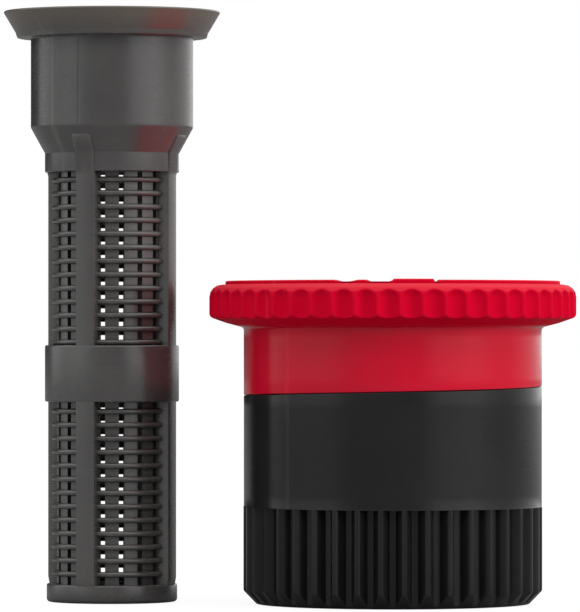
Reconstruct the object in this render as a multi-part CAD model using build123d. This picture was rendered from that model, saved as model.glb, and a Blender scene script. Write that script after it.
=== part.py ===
from build123d import *
import os
from math import atan2, degrees, pi, radians, tan

os.makedirs("parts", exist_ok=True)

# Adjustable-arc spray nozzle with its filter screen standing beside it.
# Millimetres, +Z up. The origin is on the nozzle axis, in the plane of the
# thread mouth. The front of the object faces -Y, which is 270 degrees.
# Every profile corner is (radius, height).

# Screw motion of the arc collar
ARC_PITCH = 1.25
ARC_OPEN_AT_REST = 270.0
HELIX_CLEARANCE = 0.03
SHOULDER_START = 13.69
SHOULDER_STEP_ANGLE = 45.0
VALVE_START = 17.9
VALVE_STEP_ANGLE = 285.0
TURNED_UP_AT_REST = 360.0 - ARC_OPEN_AT_REST

# Nozzle body
BODY_RADIUS = 10.15
GRIP_TIP_RADIUS = 10.19
GRIP_ROOT_RADIUS = 9.43
GRIP_TOP = 6.6
GRIP_RIBS = 40
GRIP_TIP_WIDTH = 0.27
GRIP_FLOOR_WIDTH = 0.45
GRIP_GROOVE_ANGLE = 269.0
MOUTH_RADIUS = 9.3
MOUTH_CHAMFER = 0.92
SHOULDER_TOP = 15.0
SLEEVE_RADIUS = 8.5
SLEEVE_TOP = 17.3
CHAMBER_RADIUS = 7.4

# 5/8-28 female thread that screws onto the riser
THREAD_PITCH = 25.4 / 28
THREAD_MAJOR_RADIUS = 15.875 / 2
THREAD_MINOR_RADIUS = THREAD_MAJOR_RADIUS - 0.54127 * THREAD_PITCH
THREAD_START = 1.2
THREAD_END = 7.2
PILOT_RADIUS = 8.2
RELIEF_RADIUS = 8.4
SEAT_HEIGHT = 8.0
WEB_TOP = 9.6

# Flow ports and the centre boss
PORTS = 6
PORT_INNER_RADIUS = 3.4
PORT_OUTER_RADIUS = 4.4
PORT_ANGLE = 44.0
BOSS_RADIUS = 3.3
BOSS_TOP = 14.6
SPIGOT_RADIUS = 2.6
SPIGOT_END = 12.0
SOCKET_FLATS = 4.3

# Deflector cap
CAP_RADIUS = 11.4
CAP_TOP = 21.95
CAP_UNDER_RIM = 21.5
CAP_UNDER_HUB = (6.3, 19.6)
CAP_FLUTES = 36
CAP_FLUTE_WIDTH = 0.26
RIM_INNER_RADIUS = 10.7
DISH_EDGE = (10.55, 21.7)
DISH_CENTRE = (3.7, 21.5)
HEAD_RECESS_RADIUS = 2.6
HEAD_BOSS_TOP = 21.75
GLAND_RADIUS = 2.3
GLAND_FLOOR = 19.9
HEAD_SEAT = 20.8
SCREW_BORE_RADIUS = 1.6

# Marks on the front of the cap rim: two hollows with a bead between them, a raised pad and a notch
LEFT_HOLLOW_ANGLE = 252.9
LEFT_HOLLOW_RADIUS = 2.6
LEFT_HOLLOW_DEPTH = 0.13
RIGHT_HOLLOW_ANGLE = 264.6
RIGHT_HOLLOW_RADIUS = 1.9
RIGHT_HOLLOW_DEPTH = 0.23
STEP_DEPTH = 0.07
PAD_START_ANGLE = 269.1
PAD_END_ANGLE = 282.9
PAD_RISE = 0.06
NOTCH_ANGLE = 284.0
NOTCH_DEPTH = 0.25

# Arc collar
RING_RADIUS = 12.5
RING_BOTTOM = 19.5
RING_TOP = 21.7
RING_BORE = 11.6
RING_TOP_ROUND = 0.85
BOWL_RIM = (11.45, 20.49)
BOWL_FLOOR = (6.6, 18.3)
RING_FLUTES = 51
RING_RIDGE_ANGLE = 271.3
FLUTE_RADIUS = 0.875
FLUTE_DEPTH = 0.33
FLUTE_TOP = 20.75
LIP_INNER_RADIUS = 4.4
LIP_OUTER_RADIUS = 5.2
COLLAR_GUIDE_RADIUS = 8.6
COLLAR_MOUTH_RADIUS = 8.85
SEAL_GROOVE_RADIUS = 9.4
SEAL_GROOVE_BOTTOM = 15.3
SEAL_GROOVE_TOP = 16.2
COLLAR_SEAL_HEIGHT = 15.75
COLLAR_SEAL_RADIUS = 8.96
COLLAR_SEAL_SECTION = 0.43
SCREW_SEAL_HEIGHT = 20.33
SCREW_SEAL_RADIUS = 1.9
SCREW_SEAL_SECTION = 0.36

# Radius screw with a 0.5 mm pitch thread, and the throttle plug it drives
SCREW_PITCH = 0.5
SCREW_RADIUS = 1.5
SCREW_ROOT_RADIUS = 1.2
SCREW_END = 4.2
SCREW_TURNS = 14
PLUG_TURNS = 12
SCREW_HEAD_RADIUS = 2.45
SCREW_HEAD_TOP = 21.6
SLOT_WIDTH = 0.6
SLOT_DEPTH = 0.45
SLOT_ANGLE = 35.0
CLIP_GROOVE_RADIUS = 1.15
CLIP_BOTTOM = 11.64
CLIP_TOP = 11.94
CLIP_RADIUS = 2.05
CLIP_GAP = 0.9
PLUG_RADIUS = 4.65
PLUG_BOTTOM = 4.4
PLUG_EDGE = 5.2
PLUG_TOP = 5.7
PLUG_NOSE_RADIUS = 2.6
PLUG_HUB_TOP = 8.8
PLUG_HUB_FLATS = 4.2
PLUG_BORE_RADIUS = 1.27
THREAD_GAP = 0.04

# Filter screen
FILTER_X = -19.22
FILTER_Y = 3.0
BAND_RADIUS = 4.6
TUBE_RADIUS = 3.8
TUBE_BORE = 3.45
HOOP_RADIUS = 4.13
HOOP_HALF = 0.17
HOOP_PITCH = 0.925
HOOPS_PER_WINDOW = 13
UPPER_WINDOW = (17.58, 29.42)
LOWER_WINDOW = (1.24, 13.70)
UPPER_HOOP = 28.87
LOWER_HOOP = 13.07
REAR_HOOPS = 14
REAR_HOOP_HALF = 0.28
UPPER_REAR_HOOP = 29.635
LOWER_REAR_HOOP = 13.515
BARS = 18
BAR_GAP = 0.36
BAR_ANGLE = 271.7
RIB_ANGLE = 247.6
RIB_WIDTH = 1.4
RIBS = 4
CUP_RADIUS = 5.57
CUP_BORE = 4.95
CUP_BOTTOM = 32.49
CUP_TOP = 38.64
FLANGE_FOOT_RADIUS = 6.5
FLANGE_RADIUS = 7.43
FLANGE_TOP = 40.48
FOOT_RADIUS = 4.475


def outline(corners, rounds=()):
    """A flat section in radius and height, with some corners rounded."""
    section = make_face(Polyline(*corners, close=True))
    for corner, radius in rounds:
        target = Vector(*corner)
        vertex = min(section.vertices(), key=lambda v: (Vector(v) - target).length)
        section = fillet(vertex, radius)
    return section


def turned(corners, rounds=(), sweep=360):
    """A solid turned about Z from its section, by default a whole turn."""
    return revolve(Plane.XZ * outline(corners, rounds), Axis.Z, sweep)


def tube(inner, outer, bottom, top):
    """A plain tube about Z."""
    return turned([(inner, bottom), (outer, bottom), (outer, top), (inner, top)])


def disc(radius, bottom, top):
    """A plain cylinder about Z between two heights."""
    height = top - bottom
    return Pos(0, 0, bottom) * Cylinder(radius, height, align=(Align.CENTER, Align.CENTER, Align.MIN))


def sector(inner, outer, bottom, top, centre_angle, width_angle):
    """A piece of tube that spans an angle about Z."""
    piece = turned([(inner, bottom), (outer, bottom), (outer, top), (inner, top)], sweep=width_angle)
    return Rot(0, 0, centre_angle - width_angle / 2) * piece


def screw_swept(corners, pitch, turns):
    """A section carried along a right-handed screw path from zero degrees."""
    mean_radius = sum(r for r, z in corners) / len(corners)
    path = Helix(pitch=pitch, height=pitch * turns, radius=mean_radius)
    section = make_face(Polyline(*[(r, 0, z) for r, z in corners], close=True))
    return sweep(section, path, is_frenet=True)


def helical_ramp(inner, outer, low, high, start_angle):
    """Two half-turn ramps that climb one arc pitch per turn."""
    corners = [(inner, low), (outer, low), (outer, high), (inner, high)]
    half = screw_swept(corners, ARC_PITCH, 0.5)
    first = Rot(0, 0, start_angle) * half
    second = Pos(0, 0, ARC_PITCH / 2) * Rot(0, 0, start_angle + 180) * half
    return [first, second]


def cut_ramp(solid, ramp):
    """Takes the two halves of a ramp out of a solid, one after the other."""
    for half in ramp:
        solid = solid - half
    return solid


def cut_thread(solid, groove, pitch, start, turns):
    """Cuts a helical groove one turn at a time, from the start height up."""
    one_turn = screw_swept(groove, pitch, 1)
    for i in range(turns):
        solid = solid - Pos(0, 0, start + i * pitch) * one_turn
    return solid


def save(shape, name):
    """Writes one sub-part as a single solid."""
    solids = shape.solids()
    solid = max(solids, key=lambda s: s.volume)
    solid.label = name
    export_step(solid, f"parts/{name}.step")
    print(name, "solids", len(solids), "volume", round(solid.volume, 2), solid.is_valid)


def make_grip_grooves():
    """The tapered grooves between the grip ribs."""
    pitch_angle = 360 / GRIP_RIBS
    outer = GRIP_TIP_RADIUS + 0.3
    open_width = 2 * pi * GRIP_TIP_RADIUS / GRIP_RIBS - GRIP_TIP_WIDTH
    flank = (open_width - GRIP_FLOOR_WIDTH) / (GRIP_TIP_RADIUS - GRIP_ROOT_RADIUS)
    outer_width = GRIP_FLOOR_WIDTH + flank * (outer - GRIP_ROOT_RADIUS)
    corners = [
        (GRIP_ROOT_RADIUS, -GRIP_FLOOR_WIDTH / 2),
        (outer, -outer_width / 2),
        (outer, outer_width / 2),
        (GRIP_ROOT_RADIUS, GRIP_FLOOR_WIDTH / 2),
    ]
    groove = extrude(Pos(0, 0, -0.5) * outline(corners), GRIP_TOP + 0.5)
    return [Rot(0, 0, GRIP_GROOVE_ANGLE + i * pitch_angle) * groove for i in range(GRIP_RIBS)]


def cut_riser_thread(body):
    """Cuts the helical groove of the female thread."""
    half_root = THREAD_PITCH / 16
    inner = THREAD_MINOR_RADIUS - 0.06
    half_inner = half_root + (THREAD_MAJOR_RADIUS - inner) * tan(radians(30))
    corners = [
        (inner, -half_inner),
        (THREAD_MAJOR_RADIUS, -half_root),
        (THREAD_MAJOR_RADIUS, half_root),
        (inner, half_inner),
    ]
    return cut_thread(body, corners, THREAD_PITCH, THREAD_START + 0.1, 7)


def make_nozzle_body():
    """Grip, riser thread, ported web, centre boss, helical shoulder and bearing sleeve."""
    lead = PILOT_RADIUS - THREAD_MINOR_RADIUS
    corners = [
        (PILOT_RADIUS, 0),
        (MOUTH_RADIUS, 0),
        (GRIP_TIP_RADIUS, MOUTH_CHAMFER),
        (GRIP_TIP_RADIUS, GRIP_TOP),
        (BODY_RADIUS, GRIP_TOP),
        (BODY_RADIUS, SHOULDER_TOP),
        (SLEEVE_RADIUS, SHOULDER_TOP),
        (SLEEVE_RADIUS, SLEEVE_TOP),
        (CHAMBER_RADIUS, SLEEVE_TOP),
        (CHAMBER_RADIUS, WEB_TOP),
        (BOSS_RADIUS, WEB_TOP),
        (BOSS_RADIUS, BOSS_TOP),
        (SPIGOT_RADIUS, BOSS_TOP),
        (SPIGOT_RADIUS, SPIGOT_END),
        (0, SPIGOT_END),
        (0, SEAT_HEIGHT),
        (RELIEF_RADIUS, SEAT_HEIGHT),
        (RELIEF_RADIUS, THREAD_END),
        (THREAD_MINOR_RADIUS, THREAD_END),
        (THREAD_MINOR_RADIUS, THREAD_START + lead),
        (PILOT_RADIUS, THREAD_START),
    ]
    body = turned(corners, [((SLEEVE_RADIUS, SLEEVE_TOP), 0.25), ((CHAMBER_RADIUS, WEB_TOP), 0.5)])
    body = body - make_grip_grooves()
    socket = RegularPolygon(SOCKET_FLATS / 2, 6, major_radius=False)
    body = body - extrude(Pos(0, 0, SEAT_HEIGHT - 1) * socket, SPIGOT_END - SEAT_HEIGHT + 1.5)
    for i in range(PORTS):
        angle = (i + 0.5) * 360 / PORTS
        body = body - sector(PORT_INNER_RADIUS, PORT_OUTER_RADIUS, 7, WEB_TOP + 1, angle, PORT_ANGLE)
    ramp = helical_ramp(8.7, 10.7, SHOULDER_START, SHOULDER_START + 1.6, SHOULDER_STEP_ANGLE)
    return cut_riser_thread(cut_ramp(body, ramp))


def rim_hollow(angle, radius, depth):
    """A round-bottomed cutter that lies across the rim."""
    cutter = Rot(0, 90, 0) * Cylinder(radius, 4)
    return Rot(0, 0, angle) * Pos(CAP_RADIUS, 0, CAP_TOP - depth + radius) * cutter


def make_rim_marks(cap):
    """Cuts the two hollows, the step and the notch into the rim, and raises the pad."""
    outer = CAP_RADIUS + 1
    step_angle = (RIGHT_HOLLOW_ANGLE + PAD_START_ANGLE) / 2
    step_width = PAD_START_ANGLE - RIGHT_HOLLOW_ANGLE
    cap = cap - sector(9.9, outer, CAP_TOP - STEP_DEPTH, CAP_TOP + 1, step_angle, step_width)
    cap = cap - rim_hollow(LEFT_HOLLOW_ANGLE, LEFT_HOLLOW_RADIUS, LEFT_HOLLOW_DEPTH)
    cap = cap - rim_hollow(RIGHT_HOLLOW_ANGLE, RIGHT_HOLLOW_RADIUS, RIGHT_HOLLOW_DEPTH)
    pad_angle = (PAD_START_ANGLE + PAD_END_ANGLE) / 2
    pad_width = PAD_END_ANGLE - PAD_START_ANGLE
    low, high = CAP_TOP - 0.1, CAP_TOP + PAD_RISE
    cap = cap + sector(RIM_INNER_RADIUS + 0.05, CAP_RADIUS - 0.02, low, high, pad_angle, pad_width)
    side = NOTCH_DEPTH * 2 ** 0.5
    vee = Rot(45, 0, 0) * Box(3, side, side)
    return cap - Rot(0, 0, NOTCH_ANGLE) * Pos(CAP_RADIUS, 0, CAP_TOP) * vee


def cap_flute():
    """One fine V groove that throws a finger of water along the underside of the disc."""
    hub_radius, hub_height = CAP_UNDER_HUB
    fall = CAP_UNDER_RIM - hub_height
    slope = degrees(atan2(fall, CAP_RADIUS - hub_radius))
    middle = (hub_radius + CAP_RADIUS) / 2
    flute = Rot(0, -slope, 0) * Rot(45, 0, 0) * Box(3.8, CAP_FLUTE_WIDTH, CAP_FLUTE_WIDTH)
    return Pos(middle, 0, hub_height + fall / 2) * flute


def make_deflector_cap():
    """Top disc, spray-deflecting underside, helical valve seat and hollow stem."""
    corners = [
        (SCREW_BORE_RADIUS, SPIGOT_END),
        (SPIGOT_RADIUS - 0.02, SPIGOT_END),
        (SPIGOT_RADIUS - 0.02, BOSS_TOP),
        (BOSS_RADIUS, BOSS_TOP),
        (BOSS_RADIUS, 16.3),
        (3.5, 16.6),
        (5.3, 16.6),
        (5.3, 18.5),
        CAP_UNDER_HUB,
        (CAP_RADIUS, CAP_UNDER_RIM),
        (CAP_RADIUS, CAP_TOP),
        (RIM_INNER_RADIUS, CAP_TOP),
        DISH_EDGE,
        DISH_CENTRE,
        (3.4, HEAD_BOSS_TOP),
        (HEAD_RECESS_RADIUS, HEAD_BOSS_TOP),
        (HEAD_RECESS_RADIUS, HEAD_SEAT),
        (GLAND_RADIUS, HEAD_SEAT),
        (GLAND_RADIUS, GLAND_FLOOR),
        (SCREW_BORE_RADIUS, GLAND_FLOOR),
    ]
    cap = turned(corners, [((CAP_RADIUS, CAP_TOP), 0.08), ((3.4, HEAD_BOSS_TOP), 0.1)])
    ramp = helical_ramp(3.6, 5.8, VALVE_START - 2.6, VALVE_START, VALVE_STEP_ANGLE)
    cap = cut_ramp(cap, ramp)
    flute = cap_flute()
    cap = cap - [Rot(0, 0, (i + 0.5) * 360 / CAP_FLUTES) * flute for i in range(CAP_FLUTES)]
    return make_rim_marks(cap)


def make_arc_collar():
    """Fluted ring, neck, spray bowl, helical valve lip and helical lower edge."""
    corners = [
        (COLLAR_MOUTH_RADIUS, 12.9),
        (BODY_RADIUS, 12.9),
        (BODY_RADIUS, 18.78),
        (RING_RADIUS, RING_BOTTOM),
        (RING_RADIUS, RING_TOP),
        (RING_BORE, RING_TOP),
        BOWL_RIM,
        BOWL_FLOOR,
        (5.5, 16.9),
        (LIP_OUTER_RADIUS, 16.9),
        (LIP_OUTER_RADIUS, 18.6),
        (LIP_INNER_RADIUS, 18.6),
        (LIP_INNER_RADIUS, 15.9),
        (5.7, 15.9),
        (7.2, 17.7),
        (COLLAR_GUIDE_RADIUS, 17.7),
        (COLLAR_GUIDE_RADIUS, SEAL_GROOVE_TOP),
        (SEAL_GROOVE_RADIUS, SEAL_GROOVE_TOP),
        (SEAL_GROOVE_RADIUS, SEAL_GROOVE_BOTTOM),
        (COLLAR_MOUTH_RADIUS, SEAL_GROOVE_BOTTOM),
    ]
    rounds = [
        ((RING_RADIUS, RING_TOP), RING_TOP_ROUND),
        ((RING_RADIUS, RING_BOTTOM), 0.3),
        ((BODY_RADIUS, 18.78), 0.25),
        (BOWL_FLOOR, 0.4),
    ]
    collar = turned(corners, rounds)
    start = SHOULDER_START + ARC_PITCH * TURNED_UP_AT_REST / 360 + HELIX_CLEARANCE
    step = SHOULDER_STEP_ANGLE + TURNED_UP_AT_REST
    collar = cut_ramp(collar, helical_ramp(8.3, 10.7, start - 2.6, start, step))
    lip = VALVE_START - ARC_PITCH * ARC_OPEN_AT_REST / 360 - HELIX_CLEARANCE
    step = VALVE_STEP_ANGLE - ARC_OPEN_AT_REST
    collar = cut_ramp(collar, helical_ramp(4.0, 5.35, lip, lip + 2.4, step))
    centre = RING_RADIUS - FLUTE_DEPTH + FLUTE_RADIUS
    flute = disc(FLUTE_RADIUS, 18.4, FLUTE_TOP) + Pos(0, 0, FLUTE_TOP) * Sphere(FLUTE_RADIUS)
    flute = Pos(centre, 0, 0) * flute
    pitch_angle = 360 / RING_FLUTES
    first = RING_RIDGE_ANGLE + pitch_angle / 2
    return collar - [Rot(0, 0, first + i * pitch_angle) * flute for i in range(RING_FLUTES)]


def make_ring_seal(height, mean_radius, section_radius):
    """A round-section seal ring about Z."""
    return Pos(0, 0, height) * Torus(mean_radius, section_radius)


def make_radius_screw():
    """Slotted head, plain shank, clip groove and threaded end."""
    corners = [
        (0, SCREW_END),
        (SCREW_ROOT_RADIUS, SCREW_END),
        (SCREW_RADIUS, SCREW_END + 0.3),
        (SCREW_RADIUS, CLIP_BOTTOM - 0.03),
        (CLIP_GROOVE_RADIUS, CLIP_BOTTOM - 0.03),
        (CLIP_GROOVE_RADIUS, CLIP_TOP + 0.03),
        (SCREW_RADIUS, CLIP_TOP + 0.03),
        (SCREW_RADIUS, HEAD_SEAT),
        (SCREW_HEAD_RADIUS, HEAD_SEAT),
        (SCREW_HEAD_RADIUS, SCREW_HEAD_TOP),
        (0, SCREW_HEAD_TOP),
    ]
    screw = turned(corners, [((SCREW_HEAD_RADIUS, SCREW_HEAD_TOP), 0.18)])
    screw = screw - Pos(0, 0, SCREW_HEAD_TOP) * Rot(0, 0, SLOT_ANGLE) * Box(6, SLOT_WIDTH, 2 * SLOT_DEPTH)
    half_crest = SCREW_PITCH / 16
    slope = tan(radians(30))
    tool = SCREW_RADIUS + 0.03
    root = SCREW_PITCH / 2 - half_crest - (SCREW_RADIUS - SCREW_ROOT_RADIUS) * slope
    edge = SCREW_PITCH / 2 - half_crest + (tool - SCREW_RADIUS) * slope
    groove = [(SCREW_ROOT_RADIUS, -root), (tool, -edge), (tool, edge), (SCREW_ROOT_RADIUS, root)]
    return cut_thread(screw, groove, SCREW_PITCH, SCREW_END - SCREW_PITCH / 2, SCREW_TURNS)


def make_screw_clip():
    """The split retaining ring that keeps the screw in the stem."""
    ring = tube(CLIP_GROOVE_RADIUS + 0.03, CLIP_RADIUS, CLIP_BOTTOM, CLIP_TOP)
    return ring - Pos(2, 0, CLIP_TOP) * Box(4, CLIP_GAP, 2)


def make_throttle_plug():
    """Throttle disc with a six-sided hub that slides in the boss and a threaded bore."""
    corners = [
        (0, PLUG_BOTTOM),
        (PLUG_NOSE_RADIUS, PLUG_BOTTOM),
        (PLUG_RADIUS, PLUG_EDGE),
        (PLUG_RADIUS, PLUG_TOP),
        (0, PLUG_TOP),
    ]
    plug = turned(corners)
    hub = RegularPolygon(PLUG_HUB_FLATS / 2, 6, major_radius=False)
    plug = plug + extrude(Pos(0, 0, PLUG_TOP - 0.3) * hub, PLUG_HUB_TOP - PLUG_TOP + 0.3)
    plug = plug - disc(PLUG_BORE_RADIUS, PLUG_BOTTOM - 1, PLUG_HUB_TOP + 1)
    slope = tan(radians(30))
    inner = PLUG_BORE_RADIUS - 0.03
    outer = SCREW_RADIUS + THREAD_GAP
    half_crest = SCREW_PITCH / 16 + THREAD_GAP
    half_inner = half_crest + (SCREW_RADIUS - inner) * slope
    half_outer = half_crest - THREAD_GAP * slope
    groove = [(inner, -half_inner), (outer, -half_outer), (outer, half_outer), (inner, half_inner)]
    return cut_thread(plug, groove, SCREW_PITCH, SCREW_END - SCREW_PITCH, PLUG_TURNS)


def half_hoops(first_height, count, start_angle, half_height):
    """Half-turn hoops of one moulding half, from the top hoop down."""
    inner = TUBE_RADIUS - 0.1
    corners = [
        (inner, half_height),
        (HOOP_RADIUS - 0.1, half_height),
        (HOOP_RADIUS, half_height - 0.1),
        (HOOP_RADIUS, 0.1 - half_height),
        (HOOP_RADIUS - 0.1, -half_height),
        (inner, -half_height),
    ]
    hoop = Rot(0, 0, start_angle) * turned(corners, sweep=180)
    return [Pos(0, 0, first_height - i * HOOP_PITCH) * hoop for i in range(count)]


def make_rib_strips():
    """The four upright ribs and the short straps that carry them over the cone."""
    corners = [
        (3.6, 1.1),
        (4.42, 1.1),
        (BAND_RADIUS - 0.02, 1.6),
        (BAND_RADIUS - 0.02, 29.3),
        (4.65, 29.5),
        (4.65, 30.75),
        (5.22, 31.84),
        (4.6, 31.84),
        (4.4, 30.9),
        (3.6, 30.0),
    ]
    shell = turned(corners)
    ribs = []
    for i in range(RIBS):
        blade = Pos(4.4, 0, 16) * Box(3, RIB_WIDTH, 40)
        ribs.append(shell & Rot(0, 0, RIB_ANGLE + 360 / RIBS * i) * blade)
    return ribs


def make_filter_screen():
    """Flanged cup, cone and a slotted tube wrapped in hoops between four ribs."""
    upper_low, upper_high = UPPER_WINDOW
    lower_low, lower_high = LOWER_WINDOW
    corners = [
        (0, 0),
        (0, 1.0),
        (TUBE_BORE, 1.0),
        (TUBE_BORE, 30.9),
        (CUP_BORE, 32.9),
        (CUP_BORE, 38.95),
        (5.95, 39.25),
        (6.97, FLANGE_TOP),
        (FLANGE_RADIUS, FLANGE_TOP),
        (FLANGE_FOOT_RADIUS, CUP_TOP),
        (CUP_RADIUS, CUP_TOP),
        (CUP_RADIUS, CUP_BOTTOM),
        (BAND_RADIUS, 30.73),
        (BAND_RADIUS, upper_high),
        (TUBE_RADIUS, upper_high),
        (TUBE_RADIUS, upper_low),
        (BAND_RADIUS, upper_low),
        (BAND_RADIUS, lower_high),
        (TUBE_RADIUS, lower_high),
        (TUBE_RADIUS, lower_low),
        (FOOT_RADIUS, lower_low),
        (FOOT_RADIUS, 0),
    ]
    rounds = [
        ((FOOT_RADIUS, 0), 0.22),
        ((BAND_RADIUS, upper_low), 0.1),
        ((BAND_RADIUS, lower_high), 0.1),
        ((FLANGE_FOOT_RADIUS, CUP_TOP), 0.12),
        ((CUP_RADIUS, CUP_BOTTOM), 0.3),
    ]
    screen = turned(corners, rounds)
    hoops = half_hoops(UPPER_HOOP, HOOPS_PER_WINDOW, RIB_ANGLE - 90, HOOP_HALF)
    hoops += half_hoops(LOWER_HOOP, HOOPS_PER_WINDOW, RIB_ANGLE - 90, HOOP_HALF)
    hoops += half_hoops(UPPER_REAR_HOOP, REAR_HOOPS, RIB_ANGLE + 90, REAR_HOOP_HALF)
    hoops += half_hoops(LOWER_REAR_HOOP, REAR_HOOPS, RIB_ANGLE + 90, REAR_HOOP_HALF)
    screen = screen + hoops
    slots = []
    for low, high in (UPPER_WINDOW, LOWER_WINDOW):
        slot = Pos(3.56, 0, (low + high) / 2) * Box(0.52, BAR_GAP, high - low - 0.1)
        for i in range(BARS):
            slots.append(Rot(0, 0, BAR_ANGLE + (i + 0.5) * 360 / BARS) * slot)
    screen = screen - slots
    for rib in make_rib_strips():
        screen = screen + rib
    return Pos(FILTER_X, FILTER_Y, 0) * screen


save(make_nozzle_body(), "nozzle_body")
save(make_deflector_cap(), "deflector_cap")
save(make_arc_collar(), "arc_collar")
save(make_ring_seal(COLLAR_SEAL_HEIGHT, COLLAR_SEAL_RADIUS, COLLAR_SEAL_SECTION), "collar_seal")
save(make_radius_screw(), "radius_screw")
save(make_ring_seal(SCREW_SEAL_HEIGHT, SCREW_SEAL_RADIUS, SCREW_SEAL_SECTION), "screw_seal")
save(make_screw_clip(), "screw_clip")
save(make_throttle_plug(), "throttle_plug")
save(make_filter_screen(), "filter_screen")
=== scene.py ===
"""Looks of an adjustable-arc spray nozzle and its filter screen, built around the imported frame.

The four moulded pieces get finer meshes of the same sizes; the small ones keep their CAD shape.
An outline is a list of corners (radius, height, rounding, tag, longest step) turned about Z, where
a step of 0 leaves a side whole. A tag tells the piece's shape function what to bend.
"""

import math

import bmesh
import bpy
import numpy as np
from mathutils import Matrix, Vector


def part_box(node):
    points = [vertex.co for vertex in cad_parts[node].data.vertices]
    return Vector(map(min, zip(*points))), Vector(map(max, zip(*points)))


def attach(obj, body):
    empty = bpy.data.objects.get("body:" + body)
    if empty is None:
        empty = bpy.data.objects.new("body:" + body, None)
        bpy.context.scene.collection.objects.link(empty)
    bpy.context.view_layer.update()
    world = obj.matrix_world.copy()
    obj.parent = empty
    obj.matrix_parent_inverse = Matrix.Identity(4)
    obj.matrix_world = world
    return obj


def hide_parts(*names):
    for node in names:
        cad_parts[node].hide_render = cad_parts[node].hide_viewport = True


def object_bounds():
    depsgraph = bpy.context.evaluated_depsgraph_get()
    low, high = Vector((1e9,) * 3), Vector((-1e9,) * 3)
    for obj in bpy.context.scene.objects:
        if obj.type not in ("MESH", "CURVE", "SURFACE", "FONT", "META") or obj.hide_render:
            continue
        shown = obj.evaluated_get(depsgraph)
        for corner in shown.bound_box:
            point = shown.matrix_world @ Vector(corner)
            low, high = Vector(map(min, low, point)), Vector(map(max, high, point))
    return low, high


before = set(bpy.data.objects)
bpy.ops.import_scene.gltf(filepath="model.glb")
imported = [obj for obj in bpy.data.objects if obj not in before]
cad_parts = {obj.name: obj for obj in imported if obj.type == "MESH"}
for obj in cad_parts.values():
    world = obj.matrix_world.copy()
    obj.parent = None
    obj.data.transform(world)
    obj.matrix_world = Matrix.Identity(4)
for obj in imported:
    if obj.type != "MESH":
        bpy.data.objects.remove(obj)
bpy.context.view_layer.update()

MM = 0.001
TURN = 2 * math.pi

# ---------------------------------------------------------------- driving sizes, from the frame

BODY_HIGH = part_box("nozzle_body")[1]
CAP_LOW, CAP_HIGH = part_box("deflector_cap")
COLLAR_LOW, COLLAR_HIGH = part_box("arc_collar")
FILTER_LOW, FILTER_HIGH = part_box("filter_screen")

FILTER_X = (FILTER_LOW.x + FILTER_HIGH.x) / 2
FILTER_Y = (FILTER_LOW.y + FILTER_HIGH.y) / 2

# All lengths from here on are millimetres until a mesh is made.
RING_R = max(COLLAR_HIGH.x, COLLAR_HIGH.y, -COLLAR_LOW.x, -COLLAR_LOW.y) / MM
RING_TOP = COLLAR_HIGH.z / MM
GRIP_R = 10.19
BAND_INSET = 0.04
BAND_R = GRIP_R - BAND_INSET
SLEEVE_TOP = BODY_HIGH.z / MM
CAP_R = (CAP_HIGH.x - CAP_LOW.x) / 2 / MM
CAP_PAD_TOP = CAP_HIGH.z / MM
PAD_RISE = 0.06
CAP_RIM_TOP = CAP_PAD_TOP - PAD_RISE
FLANGE_R = (FILTER_HIGH.x - FILTER_LOW.x) / 2 / MM
FLANGE_TOP = FILTER_HIGH.z / MM

# Screw motion of the collar: one pitch per turn, a quarter turn above its lowest seat at rest.
ARC_PITCH = 1.25
SEATED_GAP = 0.03
SHOULDER_START, SHOULDER_STEP = 13.69, 45.0
VALVE_START, VALVE_STEP = 17.9, 285.0
REST_TURN, REST_ARC = 90.0, 270.0

# Bearings shared by neighbouring pieces.
SLEEVE_R, SLEEVE_BORE, SLEEVE_FOOT = 8.5, 7.4, 15.0
STEM_R, STEM_FOOT, SCREW_BORE_R = 2.6, 12.0, 1.6
BOSS_R, BOSS_TOP = 3.31, 14.6
THROAT_R, LIP_R, VALVE_R = 4.4, 5.2, 5.3


# ---------------------------------------------------------------- outlines and lathe meshes

MOST_OF_SIDE = 0.94


def arc_corner(before, corner, after, radius, count):
    """Points of the round that replaces one corner of an outline."""
    a, p, b = (np.array(v[:2], float) for v in (before, corner, after))
    u, v = (a - p) / np.linalg.norm(a - p), (b - p) / np.linalg.norm(b - p)
    half = math.acos(max(-1.0, min(1.0, float(u @ v)))) / 2
    room = MOST_OF_SIDE * min(np.linalg.norm(a - p), np.linalg.norm(b - p))
    reach = min(radius / math.tan(half), room)
    radius = reach * math.tan(half)
    centre = p + (u + v) / np.linalg.norm(u + v) * radius / math.sin(half)
    start, end = p + u * reach - centre, p + v * reach - centre
    points = []
    for i in range(count + 1):
        t = i / count
        spread = math.pi - 2 * half
        w0, w1 = math.sin((1 - t) * spread) / math.sin(spread), math.sin(t * spread) / math.sin(spread)
        points.append(centre + start * w0 + end * w1)
    return points


def outline(corners, count=4):
    """Closed outline as (radius, height, tag) rows, its corners rounded and its long sides split."""
    rows = []
    for i, corner in enumerate(corners):
        r, z, rounding, tag, step = corner
        points = [(r, z)]
        if rounding:
            points = arc_corner(corners[i - 1], corner, corners[(i + 1) % len(corners)], rounding, count)
        rows += [(p[0], p[1], tag, step) for p in points]
    dense = []
    for i, (r0, z0, tag, step) in enumerate(rows):
        r1, z1 = rows[(i + 1) % len(rows)][:2]
        length = math.hypot(r1 - r0, z1 - z0)
        parts = max(1, math.ceil(length / step)) if step else 1
        dense += [(r0 + (r1 - r0) * k / parts, z0 + (z1 - z0) * k / parts, tag) for k in range(parts)]
    return dense


SHARP_ANGLE = math.radians(38)


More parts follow.
